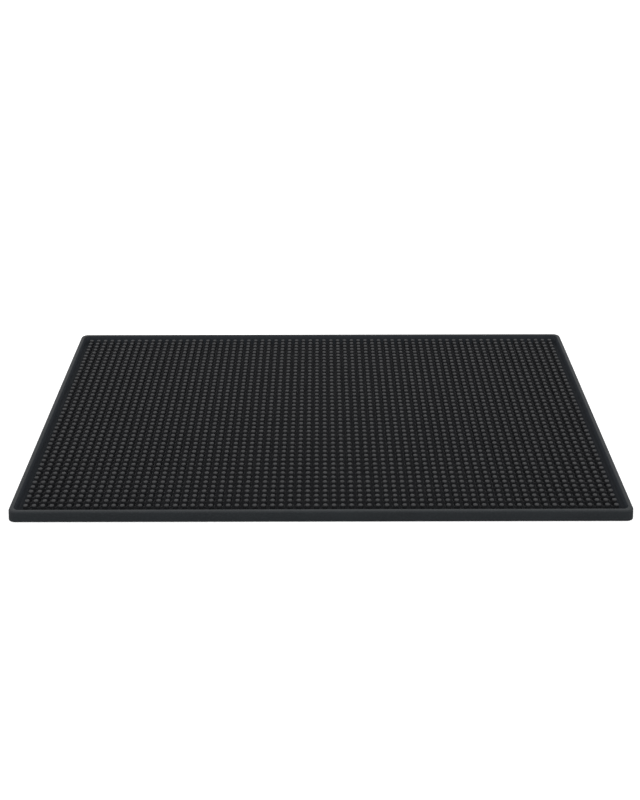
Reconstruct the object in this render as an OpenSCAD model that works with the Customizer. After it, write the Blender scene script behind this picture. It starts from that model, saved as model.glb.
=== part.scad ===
// Studded bar service mat: a shallow moulded rubber tray with a raised rim and a close grid of round
// studs on its floor. Glasses stand on the stud tops, and spills collect between the studs and in the
// gutter that runs round them inside the rim. The real mat is one moulding; it is divided here into its
// floor, its rim (four sides and four corners) and its rows of studs, which meet face to face.
// Millimetres. Origin: centre of the underside. +X runs along the mat, +Y to its back edge, +Z up.

/* [Mat] */
// Length of the mat along X, at the underside
mat_l = 450; // [150:1:500]
// Width of the mat along Y, at the underside
mat_w = 303.5; // [100:0.5:310]
// Height from the underside to the top of the rim
mat_h = 8.5; // [7:0.5:14]
// Radius of the four outside corners, seen from above
corner_r = 5.5; // [5.5:0.5:20]
// Thickness of the floor
floor_t = 2.5; // [1.5:0.1:3.5]

/* [Rim] */
// Thickness of the rim at its top
rim_w = 3.4; // [2.5:0.1:4]
// How far each wall of the rim leans in over its height, so that the mat leaves its mould
rim_draft = 0.5; // [0.2:0.1:0.6]
// Radius of the rim's two top edges
rim_edge_r = 0.8; // [0.3:0.1:1.2]

/* [Studs] */
// Distance between neighbouring studs, along both X and Y
stud_pitch = 6.38; // [6:0.02:10]
// Diameter of a stud near its top
stud_d = 3.6; // [3:0.1:4]
// How much wider a stud's radius is at the floor than near its top
stud_draft = 0.2; // [0.1:0.05:0.4]
// Size of the bevel round a stud's flat top
stud_bevel = 0.5; // [0.2:0.1:1]
// How far the stud tops lie below the top of the rim
stud_drop = 1; // [0:0.1:2]
// Narrowest gutter between the rim and the outer studs
gutter_min = 2; // [1.5:0.5:10]

/* [Hidden] */
$fn = 48;

// Thickness of the rim at the floor, below which its inner wall is upright
rim_foot_w = rim_w + 2 * rim_draft;
// Height of the plane that glasses stand on
stud_top_z = mat_h - stud_drop;
stud_foot_r = stud_d / 2 + stud_draft;

// Each row of studs grows from a root strip that lies flush in a groove of the floor and shows a narrow
// lip all round the feet of the studs.
root_t = floor_t / 3;
root_lip = 0.1;
root_w = 2 * (stud_foot_r + root_lip);

// As many studs go each way as leave the narrowest gutter on both sides.
edge_margin = rim_foot_w + gutter_min + stud_foot_r;
function studs_along(length) = floor((length - 2 * edge_margin) / stud_pitch) + 1;
column_count = studs_along(mat_l);
row_count = studs_along(mat_w);
column_span = (column_count - 1) * stud_pitch;
row_span = (row_count - 1) * stud_pitch;
root_l = column_span + root_w;

rubber_rim = [0.16, 0.17, 0.18];
rubber_floor = [0.08, 0.085, 0.09];
rubber_studs = [0.24, 0.25, 0.26];

function row_y(row) = (row - 1) * stud_pitch - row_span / 2;
function column_x(column) = (column - 1) * stud_pitch - column_span / 2;
function row_name(row) = str("stud_row_", row < 10 ? "0" : "", row);

// A rectangle with round corners, centred on the origin
module rounded_rectangle(length, width, radius) {
    union() {
        square([length - 2 * radius, width], center = true);
        square([length, width - 2 * radius], center = true);
        for (side_x = [-1, 1], side_y = [-1, 1])
            translate([side_x * (length / 2 - radius), side_y * (width / 2 - radius)])
                circle(radius);
    }
}

// What a round edge takes off a square corner: the corner is at [radius, radius] from the round's centre
module edge_waste(radius) {
    difference() {
        square(radius);
        circle(radius);
    }
}

// Cross-section of the rim, with the outer foot at the origin and +X towards the middle of the mat
module rim_section() {
    round_z = mat_h - rim_edge_r;
    outer_top = rim_draft;
    inner_top = rim_draft + rim_w;
    difference() {
        polygon([
            [0, 0],
            [outer_top, round_z],
            [outer_top, mat_h],
            [inner_top, mat_h],
            [inner_top, round_z],
            [rim_foot_w, floor_t],
            [rim_foot_w, 0]
        ]);
        translate([inner_top - rim_edge_r, round_z])
            edge_waste(rim_edge_r);
        translate([outer_top + rim_edge_r, round_z])
            mirror([1, 0])
                edge_waste(rim_edge_r);
    }
}

// A straight side of the rim along +X, centred, with its outer foot on the X axis and its inside to +Y
module rim_side(length) {
    color(rubber_rim)
        rotate([90, 0, 90])
            linear_extrude(length, center = true)
                rim_section();
}

// The front left corner of the rim, with its outer feet on the X and Y axes
module rim_corner() {
    color(rubber_rim)
        translate([corner_r, corner_r, 0])
            rotate([0, 0, 180])
                rotate_extrude(angle = 90)
                    translate([corner_r, 0])
                        mirror([1, 0])
                            rim_section();
}

module rim_front() {
    translate([0, -mat_w / 2, 0])
        rim_side(mat_l - 2 * corner_r);
}

module rim_back() {
    rotate([0, 0, 180])
        rim_front();
}

module rim_left() {
    translate([-mat_l / 2, 0, 0])
        rotate([0, 0, -90])
            rim_side(mat_w - 2 * corner_r);
}

module rim_right() {
    rotate([0, 0, 180])
        rim_left();
}

module corner_front_left() {
    translate([-mat_l / 2, -mat_w / 2, 0])
        rim_corner();
}

module corner_front_right() {
    mirror([1, 0, 0])
        corner_front_left();
}

module corner_back_left() {
    mirror([0, 1, 0])
        corner_front_left();
}

module corner_back_right() {
    rotate([0, 0, 180])
        corner_front_left();
}

// The strip that joins the studs of one row, flush with the top of the floor
module root_strip(row) {
    translate([-root_l / 2, row_y(row) - root_w / 2, floor_t - root_t])
        cube([root_l, root_w, root_t]);
}

// The floor inside the rim, with a groove for the root strip of each row of studs
module floor_sheet() {
    color(rubber_floor)
        difference() {
            linear_extrude(floor_t)
                rounded_rectangle(
                    mat_l - 2 * rim_foot_w,
                    mat_w - 2 * rim_foot_w,
                    corner_r - rim_foot_w
                );
            for (row = [1 : row_count])
                root_strip(row);
        }
}

// One stud, standing on the floor, with a tapered side and a bevel round its flat top
module stud() {
    top_r = stud_d / 2;
    stud_h = stud_top_z - floor_t;
    translate([0, 0, floor_t])
        rotate_extrude()
            polygon([
                [0, 0],
                [stud_foot_r, 0],
                [top_r, stud_h - stud_bevel],
                [top_r - stud_bevel, stud_h],
                [0, stud_h]
            ]);
}

// A row of studs from the left gutter to the right one, joined by its root strip
module stud_row(row) {
    color(rubber_studs)
        union() {
            root_strip(row);
            for (column = [1 : column_count])
                translate([column_x(column), row_y(row), 0])
                    stud();
        }
}

floor_sheet();
rim_front();
rim_back();
rim_left();
rim_right();
corner_front_left();
corner_front_right();
corner_back_left();
corner_back_right();
for (row = [1 : row_count])
    stud_row(row);
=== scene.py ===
# Looks of the studded bar service mat: one black rubber moulding that lies flat on a white studio floor.
# Metres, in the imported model's frame: origin at the centre of the underside, +Y to the back, +Z up.
import math

import bmesh
import bpy
import numpy as np
from mathutils import Euler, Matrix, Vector


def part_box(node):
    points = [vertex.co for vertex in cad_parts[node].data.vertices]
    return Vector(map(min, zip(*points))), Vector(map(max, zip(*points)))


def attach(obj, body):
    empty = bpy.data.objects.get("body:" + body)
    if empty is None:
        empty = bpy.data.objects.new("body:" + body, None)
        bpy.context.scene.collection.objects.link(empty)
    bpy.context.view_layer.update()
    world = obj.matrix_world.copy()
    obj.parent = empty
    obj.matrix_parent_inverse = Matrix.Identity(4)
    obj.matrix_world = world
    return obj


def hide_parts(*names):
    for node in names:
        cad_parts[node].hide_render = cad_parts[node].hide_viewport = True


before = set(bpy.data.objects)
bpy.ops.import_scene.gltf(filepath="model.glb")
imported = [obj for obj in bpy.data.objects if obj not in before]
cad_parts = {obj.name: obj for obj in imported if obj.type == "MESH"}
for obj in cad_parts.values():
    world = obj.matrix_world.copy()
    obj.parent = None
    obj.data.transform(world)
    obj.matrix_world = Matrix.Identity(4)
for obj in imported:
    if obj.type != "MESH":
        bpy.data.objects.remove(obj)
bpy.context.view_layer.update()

MM = 0.001

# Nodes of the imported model
FLOOR_NODE = "floor_sheet"
RIM_SIDES = ["rim_front", "rim_back", "rim_left", "rim_right"]
RIM_CORNERS = ["corner_front_left", "corner_front_right", "corner_back_left", "corner_back_right"]
ROW_NODES = sorted(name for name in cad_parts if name.startswith("stud_row_"))

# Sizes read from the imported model
FLOOR_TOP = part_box(FLOOR_NODE)[1].z
FIRST_LOW, FIRST_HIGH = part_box(ROW_NODES[0])
LAST_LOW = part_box(ROW_NODES[-1])[0]
STUD_TOP = FIRST_HIGH.z
ROW_WIDTH = FIRST_HIGH.y - FIRST_LOW.y
PITCH = (LAST_LOW.y - FIRST_LOW.y) / (len(ROW_NODES) - 1)
COLUMN_COUNT = round((FIRST_HIGH.x - FIRST_LOW.x - ROW_WIDTH) / PITCH) + 1
RIM_LOW, RIM_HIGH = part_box("rim_front")
RIM_TOP = RIM_HIGH.z
RIM_FOOT = RIM_HIGH.y - RIM_LOW.y
HALF_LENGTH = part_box("rim_right")[1].x
HALF_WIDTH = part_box("rim_back")[1].y
CORNER_LOW, CORNER_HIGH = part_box("corner_back_right")
CORNER_R = CORNER_HIGH.x - CORNER_LOW.x

# Studs
ROOT_LIP = 0.1 * MM
FOOT_R = ROW_WIDTH / 2 - ROOT_LIP
STUD_TAPER = 0.2 * MM
STUD_R = FOOT_R - STUD_TAPER
STUD_FILLET = 0.45 * MM
STUD_FILLET_STEPS = 3
STUD_EDGE = 0.75 * MM
STUD_EDGE_ANGLE = 84
STUD_EDGE_STEPS = 4
STUD_DOME = 0.06 * MM
STUD_SINK = 0.3 * MM
STUD_SIDES = 20
ROWS_PER_BAND = 5
STUD_LEAN = math.radians(0.7)
MOST_LEAN = 2 * STUD_LEAN
STUD_HEIGHT_SPREAD = 0.04 * MM
STUD_RADIUS_SPREAD = 0.012

# Rim, from its outer foot over its crest and down to the floor
RIM_DRAFT = 0.5 * MM
RIM_TOE = 0.35 * MM
RIM_TOE_STEPS = 3
RIM_OUTER_EDGE = 1.3 * MM
RIM_OUTER_EDGE_STEPS = 8
RIM_CROWN = 0.05 * MM
RIM_INNER_EDGE = 0.6 * MM
RIM_INNER_EDGE_STEPS = 6
CREST_SLOPE = 5
RIM_FILLET = 2.2 * MM
RIM_FILLET_STEPS = 6
FILLET_BITE = 0.1 * MM
FILLET_DROP = 0.01 * MM
UNDERCUT = 0.4 * MM
INNER_CORNER_R = 3.2 * MM
SIDE_STEP = 10 * MM
CORNER_STEPS = 12
RIM_WAVE = 0.06 * MM
WAVES_ROUND_RIM = range(5, 17)
WAVE_SIZES = (0.4, 1)
WAVE_MIDDLE = 0.5

# Gutter
STUD_CLEARANCE = 0.4 * MM
GUTTER_WIDTH = min(FIRST_LOW.x + HALF_LENGTH, FIRST_LOW.y + HALF_WIDTH) - RIM_FOOT - STUD_CLEARANCE
# Heights over which the painted light on the rim's inner wall fades in
WALL_FADE = (0.4 * MM, 2.4 * MM)
# Width over which the gutter floor's painted light fades out among the studs
FLOOR_FADE = 5 * MM

# Edges that turn further than this are crisp
SHARP_EDGE = math.radians(40)

# Rubbers: colours chosen so that each region looks as bright as it does in the photo
# The gutter floor is the same rubber as the floor among the studs, painted lighter: painted light
GUTTER_PAINTED_LIGHT_COLOUR = (0.0140, 0.0160, 0.0190)
# The rim's inner wall is the same rubber, painted far lighter: painted light
WALL_PAINTED_LIGHT_COLOUR = (0.04, 0.045, 0.052)
CLOUD_GAIN = 1.25
CLOUD_SCALE, CLOUD_DETAIL, CLOUD_RANGE = 24, 4, (0.35, 0.7)
SPECKLE_SCALE, SPECKLE_DETAIL, SPECKLE_RANGE = 700, 2, (0.45, 0.75)
PATCH_SCALE, PATCH_DETAIL, PATCH_RANGE = 60, 4, (0.3, 0.7)
SMOOTHER, ROUGHER = 0.05, 0.06
GRAIN_SCALE, GRAIN_DETAIL, GRAIN_DEPTH = 2600, 2, 0.03 * MM
SWELL_SCALE, SWELL_DETAIL, SWELL_DEPTH = 150, 2, 0.15 * MM
SWELL_STRENGTH = 0.5
NOISE_ROUGHNESS = 0.55

# Camera: where the photographer stood, from the mat's centre
CAMERA_AT = Vector((0.0003, -0.8526, 0.4711))
CAMERA_DOWN = math.radians(27.969)
CAMERA_YAW = math.radians(0.056)
CAMERA_ROLL = math.radians(0.149)
CAMERA_LENS = 52.7
CAMERA_SENSOR = 36
CAMERA_CLIP = (0.01, 60)

# Studio
STUDIO_HALF = 12
TABLE_PAINT = (0.9, 0.9, 0.9, 1)
TABLE_ROUGHNESS = 0.9
TABLE_GLOW = 0.45
WHITE = (1, 1, 1, 1)
SURROUND_ABOVE = 1.0
SURROUND_BELOW = 0.3
SURROUND_DARKEST_AT = -0.3
OVERHEAD_AT = Vector((0, 0.5, 1.6))
OVERHEAD_SIZE = 1.6
OVERHEAD_POWER = 6

SEED = 11


def new_piece(name, mesh, material, nodes):
    """An object that rides on the one body, shows a material and stands for CAD nodes."""
    piece = bpy.data.objects.new(name, mesh)
    bpy.context.scene.collection.objects.link(piece)
    mesh.materials.append(material)
    mesh.shade_smooth()
    mesh.set_sharp_from_angle(angle=SHARP_EDGE)
    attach(piece, "root")
    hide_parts(*nodes)


def arc(centre, radius, start, end, steps):
    """Points of an arc in a profile, from one angle in degrees to another."""
    angles = [math.radians(start + (end - start) * i / steps) for i in range(steps + 1)]
    return [(centre[0] + radius * math.cos(a), centre[1] + radius * math.sin(a)) for a in angles]


# ---------------------------------------------------------------- materials

def link(tree, source, target):
    tree.links.new(source, target)


def noise(tree, coordinates, scale, detail):
    node = tree.nodes.new("ShaderNodeTexNoise")
    node.inputs["Scale"].default_value = scale
    node.inputs["Detail"].default_value = detail
    node.inputs["Roughness"].default_value = NOISE_ROUGHNESS
    link(tree, coordinates, node.inputs["Vector"])
    return node.outputs["Fac"]


def remap(tree, value, source, target):
    """A value taken from one range to another, each a pair of ends."""
    node = tree.nodes.new("ShaderNodeMapRange")
    node.inputs["From Min"].default_value = source[0]
    node.inputs["From Max"].default_value = source[1]
    node.inputs["To Min"].default_value = target[0]
    node.inputs["To Max"].default_value = target[1]
    link(tree, value, node.inputs["Value"])
    return node.outputs["Result"]


def mix_colour(tree, factor, first, second):
    """A mix of two colours, each a tuple or a socket."""
    node = tree.nodes.new("ShaderNodeMix")
    node.data_type = "RGBA"
    link(tree, factor, node.inputs["Factor"])
    for name, colour in (("A", first), ("B", second)):
        socket = [s for s in node.inputs if s.name == name and s.type == "RGBA"][0]
        if isinstance(colour, tuple):
            socket.default_value = (*colour, 1)
        else:
            link(tree, colour, socket)
    return [s for s in node.outputs if s.type == "RGBA"][0]


def calculate(tree, operation, *operands):
    """A Math node on numbers or sockets."""
    node = tree.nodes.new("ShaderNodeMath")
    node.operation = operation
    for operand, socket in zip(operands, node.inputs):
        if isinstance(operand, float):
            socket.default_value = operand
        else:
            link(tree, operand, socket)
    return node.outputs["Value"]


def bump(tree, height, strength, depth):
    node = tree.nodes.new("ShaderNodeBump")
    node.inputs["Strength"].default_value = strength
    node.inputs["Distance"].default_value = depth
    link(tree, height, node.inputs["Height"])
    return node


def split_axes(tree, coordinates):
    node = tree.nodes.new("ShaderNodeSeparateXYZ")
    link(tree, coordinates, node.inputs[0])
    return node.outputs


def painted_light_up_the_wall(tree, coordinates):
    """Mask of painted light: 0 at the floor of the gutter and 1 from a little way up its wall, where the
    wall is painted lighter.
    """
    height = split_axes(tree, coordinates)["Z"]
    return remap(tree, height, (FLOOR_TOP + WALL_FADE[0], FLOOR_TOP + WALL_FADE[1]), (0, 1))


def painted_light_at_the_gutter(tree, coordinates):
    """Mask of painted light and shade: 1 at the gutter, painted lighter, and 0 among the studs, painted
    darker.
    """
    axes = split_axes(tree, coordinates)
    from_sides = calculate(tree, "SUBTRACT", HALF_LENGTH, calculate(tree, "ABSOLUTE", axes["X"]))
    from_ends = calculate(tree, "SUBTRACT", HALF_WIDTH, calculate(tree, "ABSOLUTE", axes["Y"]))
    nearest = calculate(tree, "MINIMUM", from_sides, from_ends)
    gutter_end = RIM_FOOT + GUTTER_WIDTH
    return remap(tree, nearest, (gutter_end, gutter_end + FLOOR_FADE), (1, 0))


def rubber(name, colour, pale, roughness, grain, specular, where=None, painted_light_colour=None):
    """Moulded rubber: cloudy colour, a bloom of dust on top, a fine grain and slow unevenness.

    A second, lighter colour of painted light may take over where a function of the position says so.
    """
    material = bpy.data.materials.new(name)
    material.use_nodes = True
    tree = material.node_tree
    shader = tree.nodes["Principled BSDF"]
    coordinates = tree.nodes.new("ShaderNodeTexCoord").outputs["Object"]

    clouds = remap(tree, noise(tree, coordinates, CLOUD_SCALE, CLOUD_DETAIL), CLOUD_RANGE, (0, 1))
    speckle = remap(tree, noise(tree, coordinates, SPECKLE_SCALE, SPECKLE_DETAIL), SPECKLE_RANGE, (0, 1))
    cloudy = mix_colour(tree, clouds, colour, tuple(CLOUD_GAIN * c for c in colour))
    bloom_and_painted_light = mix_colour(tree, speckle, cloudy, pale)
    if where:
        # Painted light: the lighter second colour laid over the dusty rubber by position
        bloom_and_painted_light = mix_colour(tree, where(tree, coordinates), bloom_and_painted_light, painted_light_colour)
    link(tree, bloom_and_painted_light, shader.inputs["Base Color"])

    patchy = noise(tree, coordinates, PATCH_SCALE, PATCH_DETAIL)
    uneven = remap(tree, patchy, PATCH_RANGE, (roughness - SMOOTHER, roughness + ROUGHER))
    link(tree, uneven, shader.inputs["Roughness"])

    fine = bump(tree, noise(tree, coordinates, GRAIN_SCALE, GRAIN_DETAIL), grain, GRAIN_DEPTH)
    slow = bump(tree, noise(tree, coordinates, SWELL_SCALE, SWELL_DETAIL), SWELL_STRENGTH, SWELL_DEPTH)
    link(tree, fine.outputs["Normal"], slow.inputs["Normal"])
    link(tree, slow.outputs["Normal"], shader.inputs["Normal"])
    shader.inputs["Specular IOR Level"].default_value = specular
    return material


# ---------------------------------------------------------------- studs

def stud_profile():
    """Half section of a stud, as radius and height, from its sunk foot to the middle of its top."""
    fillet_centre = (FOOT_R + STUD_FILLET, FLOOR_TOP + STUD_FILLET)
    edge_centre = (STUD_R - STUD_EDGE, STUD_TOP - STUD_DOME - STUD_EDGE)
    foot = arc(fillet_centre, STUD_FILLET, 270, 180, STUD_FILLET_STEPS)
    edge = arc(edge_centre, STUD_EDGE, 0, STUD_EDGE_ANGLE, STUD_EDGE_STEPS)
    crown = (edge_centre[0] / 2, STUD_TOP - STUD_DOME / 4)
    return [(FOOT_R + STUD_FILLET, FLOOR_TOP - STUD_SINK), *foot, *edge, crown]


def stud_template():
    """Corners and faces of one closed stud at the origin."""
    profile = stud_profile()
    corners = []
    for radius, height in profile:
        for side in range(STUD_SIDES):
            angle = 2 * math.pi * side / STUD_SIDES
            corners.append((radius * math.cos(angle), radius * math.sin(angle), height))
    corners.append((0, 0, STUD_TOP))
    faces = [tuple(reversed(range(STUD_SIDES)))]
    for ring in range(len(profile) - 1):
        for side in range(STUD_SIDES):
            a = ring * STUD_SIDES + side
            b = ring * STUD_SIDES + (side + 1) % STUD_SIDES
            faces.append((a, b, b + STUD_SIDES, a + STUD_SIDES))
    last = (len(profile) - 1) * STUD_SIDES
    for side in range(STUD_SIDES):
        faces.append((last + side, last + (side + 1) % STUD_SIDES, len(corners) - 1))
    return np.array(corners), faces


def band_mesh(name, row_places, template, faces, random):
    """The studs of a band of rows, each a little different, as one mesh."""
    corners = []
    all_faces = []
    for y in row_places:
        for column in range(COLUMN_COUNT):
            x = (column - (COLUMN_COUNT - 1) / 2) * PITCH
            stud = template.copy()
            rise = (stud[:, 2] - FLOOR_TOP).clip(0)
            stud[:, :2] *= 1 + random.uniform(-STUD_RADIUS_SPREAD, STUD_RADIUS_SPREAD)
            lean = random.normal(0, STUD_LEAN, 2).clip(-MOST_LEAN, MOST_LEAN)
            stud[:, 0] += rise * lean[0] + x
            stud[:, 1] += rise * lean[1] + y
            stud[:, 2] -= rise / (STUD_TOP - FLOOR_TOP) * random.uniform(0, STUD_HEIGHT_SPREAD)
            offset = len(corners) * len(template)
            corners.append(stud)
            all_faces += [tuple(index + offset for index in face) for face in faces]
    mesh = bpy.data.meshes.new(name)
    mesh.from_pydata(np.concatenate(corners).tolist(), [], all_faces)
    mesh.update()
    return mesh


def make_studs(material):
    random = np.random.default_rng(SEED)
    template, faces = stud_template()
    for start in range(0, len(ROW_NODES), ROWS_PER_BAND):
        rows = ROW_NODES[start:start + ROWS_PER_BAND]
        places = [(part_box(row)[0].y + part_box(row)[1].y) / 2 for row in rows]
        name = f"studs_{start // ROWS_PER_BAND + 1:02d}"
        new_piece(name, band_mesh(name, places, template, faces, random), material, rows)


# ---------------------------------------------------------------- rim and floor

def rim_profile():
    """Closed section of the rim, and the index of the point where its inner wall starts.

    Each point is a distance in from the outer foot and a height.
    """
    outer_x = RIM_DRAFT + RIM_OUTER_EDGE
    inner_x = RIM_FOOT - RIM_DRAFT - RIM_INNER_EDGE
    shoulder = RIM_TOP - RIM_CROWN
    outer_centre = (outer_x, shoulder - RIM_OUTER_EDGE)
    inner_centre = (inner_x, shoulder - RIM_INNER_EDGE)
    fillet_centre = (RIM_FOOT - FILLET_BITE + RIM_FILLET, FLOOR_TOP + RIM_FILLET - FILLET_DROP)
    toe = arc((RIM_TOE, RIM_TOE), RIM_TOE, 270, 180, RIM_TOE_STEPS)
    outer_edge = arc(outer_centre, RIM_OUTER_EDGE, 180, 90 + CREST_SLOPE, RIM_OUTER_EDGE_STEPS)
    crown = ((outer_x + inner_x) / 2, RIM_TOP)
    inner_edge = arc(inner_centre, RIM_INNER_EDGE, 90 - CREST_SLOPE, 0, RIM_INNER_EDGE_STEPS)
    fillet = arc(fillet_centre, RIM_FILLET, 180, 270, RIM_FILLET_STEPS)
    under_floor = [(fillet[-1][0], FLOOR_TOP - UNDERCUT), (RIM_FOOT, FLOOR_TOP - UNDERCUT)]
    profile = [*toe, *outer_edge, crown, *inner_edge, *fillet, *under_floor, (RIM_FOOT, 0)]
    return profile, profile.index(inner_edge[-1])


def corner_radius(inset):
    """The rim's corners tighten from the outer foot to where its cove meets the floor."""
    return CORNER_R + (INNER_CORNER_R - CORNER_R) * inset / (RIM_FOOT + RIM_FILLET)


def outline(inset):
    """A rectangle with round corners, inset from the mat's outline, as points anticlockwise.

    Every inset gives the same number of points, so that two outlines can be joined by faces.
    """
    half_x = HALF_LENGTH - inset
    half_y = HALF_WIDTH - inset
    radius = corner_radius(inset)
    points = []
    for turn, (side_x, side_y) in enumerate(((1, -1), (1, 1), (-1, 1), (-1, -1))):
        centre = (side_x * (half_x - radius), side_y * (half_y - radius))
        points += arc(centre, radius, 90 * turn - 90, 90 * turn, CORNER_STEPS)
        along, full = (half_y, HALF_WIDTH) if turn % 2 == 0 else (half_x, HALF_LENGTH)
        count = round(2 * full / SIDE_STEP)
        end = points[-1]
        length = 2 * (along - radius)
        heading = math.radians(90 * turn + 90)
        for i in range(1, count):
            run = length * i / count
            points.append((end[0] + run * math.cos(heading), end[1] + run * math.sin(heading)))
    return points


def make_rim(material, gutter_material):
    """The rim as one ring, with the gutter's rubber from its inner wall to its underside, painted
    lighter up the inner wall as painted light.
    """
    random = np.random.default_rng(SEED + 1)
    profile, wall_start = rim_profile()
    rings = [[(x, y, height) for x, y in outline(inset)] for inset, height in profile]
    count = len(rings[0])
    waves = slow_waves(count, random)
    corners = []
    for ring in rings:
        for (x, y, z), wave in zip(ring, waves):
            lift = z / RIM_TOP
            corners.append((x * (1 - wave[0] * lift), y * (1 - wave[1] * lift), z * (1 - wave[2])))
    faces = []
    for i in range(len(rings)):
        j = (i + 1) % len(rings)
        for a in range(count):
            b = (a + 1) % count
            faces.append((i * count + a, i * count + b, j * count + b, j * count + a))
    mesh = bpy.data.meshes.new("rim")
    mesh.from_pydata(corners, [], faces)
    mesh.update()
    face_outwards(mesh)
    new_piece("rim", mesh, material, RIM_SIDES + RIM_CORNERS)
    mesh.materials.append(gutter_material)
    for polygon in mesh.polygons:
        polygon.material_index = int(polygon.index // count >= wall_start)


def slow_waves(count, random):
    """How much each place round the rim strays in X, Y and Z, as shares of its own coordinates."""
    terms = [
        (k, random.uniform(0, 2 * math.pi, 3), random.uniform(*WAVE_SIZES, 3))
        for k in WAVES_ROUND_RIM
    ]
    most = np.array([RIM_WAVE / HALF_LENGTH, RIM_WAVE / HALF_WIDTH, RIM_WAVE / RIM_TOP])
    waves = []
    for i in range(count):
        angle = 2 * math.pi * i / count
        total = sum(size * np.sin(k * angle + phase) for k, phase, size in terms)
        waves.append(most * (WAVE_MIDDLE + total / len(terms)))
    return waves


def face_outwards(mesh):
    shape = bmesh.new()
    shape.from_mesh(mesh)
    bmesh.ops.recalc_face_normals(shape, faces=shape.faces)
    shape.to_mesh(mesh)
    shape.free()


def make_floor(material):
    """The floor inside the rim."""
    shape = bmesh.new()
    points = outline(RIM_FOOT)
    lower, upper = [[shape.verts.new((x, y, height)) for x, y in points] for height in (0, FLOOR_TOP)]
    for a in range(len(points)):
        b = (a + 1) % len(points)
        shape.faces.new((lower[a], lower[b], upper[b], upper[a]))
    shape.faces.new(upper)
    shape.faces.new(reversed(lower))
    mesh = bpy.data.meshes.new("floor")
    shape.to_mesh(mesh)
    shape.free()
    face_outwards(mesh)
    new_piece("floor", mesh, material, [FLOOR_NODE])


# ---------------------------------------------------------------- studio

def make_studio():
    """A large white lit table, an even white surround and a soft box overhead."""
    mesh = bpy.data.meshes.new("studio_floor")
    half = STUDIO_HALF
    corners = [(-half, -half, 0), (half, -half, 0), (half, half, 0), (-half, half, 0)]
    mesh.from_pydata(corners, [], [(0, 1, 2, 3)])
    studio_floor = bpy.data.objects.new("studio_floor", mesh)
    bpy.context.scene.collection.objects.link(studio_floor)
    studio_floor.visible_glossy = False
    mesh.materials.append(studio_white())
    bpy.context.scene.world = studio_surround()
    make_overhead_box()


def studio_white():
    paint = bpy.data.materials.new("studio_white")
    paint.use_nodes = True
    shader = paint.node_tree.nodes["Principled BSDF"]
    shader.inputs["Base Color"].default_value = TABLE_PAINT
    shader.inputs["Roughness"].default_value = TABLE_ROUGHNESS
    shader.inputs["Specular IOR Level"].default_value = 0
    shader.inputs["Emission Color"].default_value = WHITE
    shader.inputs["Emission Strength"].default_value = TABLE_GLOW
    return paint


def studio_surround():
    """White from the horizon up, and darker below, where only reflections see past the table."""
    world = bpy.data.worlds.new("studio_surround")
    world.use_nodes = True
    tree = world.node_tree
    background = tree.nodes["Background"]
    direction = tree.nodes.new("ShaderNodeTexCoord").outputs["Generated"]
    upward = split_axes(tree, direction)["Z"]
    brightness = remap(tree, upward, (SURROUND_DARKEST_AT, 0), (SURROUND_BELOW, SURROUND_ABOVE))
    link(tree, brightness, background.inputs["Strength"])
    background.inputs["Color"].default_value = WHITE
    return world


def make_overhead_box():
    """A square soft light, turned to the middle of the mat."""
    light = bpy.data.lights.new("overhead_box", "AREA")
    light.shape = "SQUARE"
    light.size = OVERHEAD_SIZE
    light.energy = OVERHEAD_POWER
    box = bpy.data.objects.new("overhead_box", light)
    box.location = OVERHEAD_AT
    box.rotation_euler = (-OVERHEAD_AT).to_track_quat("-Z", "Y").to_euler()
    bpy.context.scene.collection.objects.link(box)


def make_camera():
    data = bpy.data.cameras.new("camera")
    data.lens = CAMERA_LENS
    data.sensor_width = CAMERA_SENSOR
    data.clip_start, data.clip_end = CAMERA_CLIP
    camera = bpy.data.objects.new("camera", data)
    camera.location = CAMERA_AT
    pan = Euler((0, 0, CAMERA_YAW)).to_matrix()
    tilt = Euler((math.pi / 2 - CAMERA_DOWN, 0, 0)).to_matrix()
    roll = Euler((0, 0, -CAMERA_ROLL)).to_matrix()
    camera.rotation_euler = (pan @ tilt @ roll).to_euler()
    bpy.context.scene.collection.objects.link(camera)
    bpy.context.scene.camera = camera


make_camera()
make_studio()
# The floor is painted lighter at the gutter and darker among the studs: painted light and shade
make_floor(
    rubber(
        "floor_rubber", colour=(0.0090, 0.0093, 0.0107), pale=(0.016, 0.016, 0.018),
        roughness=0.68, grain=0.7, specular=0.06,
        where=painted_light_at_the_gutter, painted_light_colour=GUTTER_PAINTED_LIGHT_COLOUR,
    ),
)
make_rim(
    rubber(
        "rim_rubber", colour=(0.0083, 0.0110, 0.0133), pale=(0.015, 0.018, 0.021),
        roughness=0.5, grain=0.5, specular=0.3,
    ),
    # The gutter's rubber: painted light up the rim's inner wall
    rubber(
        "gutter_rubber", colour=GUTTER_PAINTED_LIGHT_COLOUR, pale=(0.020, 0.022, 0.025),
        roughness=0.68, grain=0.7, specular=0.06,
        where=painted_light_up_the_wall, painted_light_colour=WALL_PAINTED_LIGHT_COLOUR,
    ),
)
make_studs(
    rubber(
        "stud_rubber", colour=(0.0115, 0.0120, 0.0138), pale=(0.022, 0.0225, 0.024),
        roughness=0.5, grain=0.5, specular=0.36,
    ),
)
bpy.context.scene.view_settings.view_transform = "Standard"
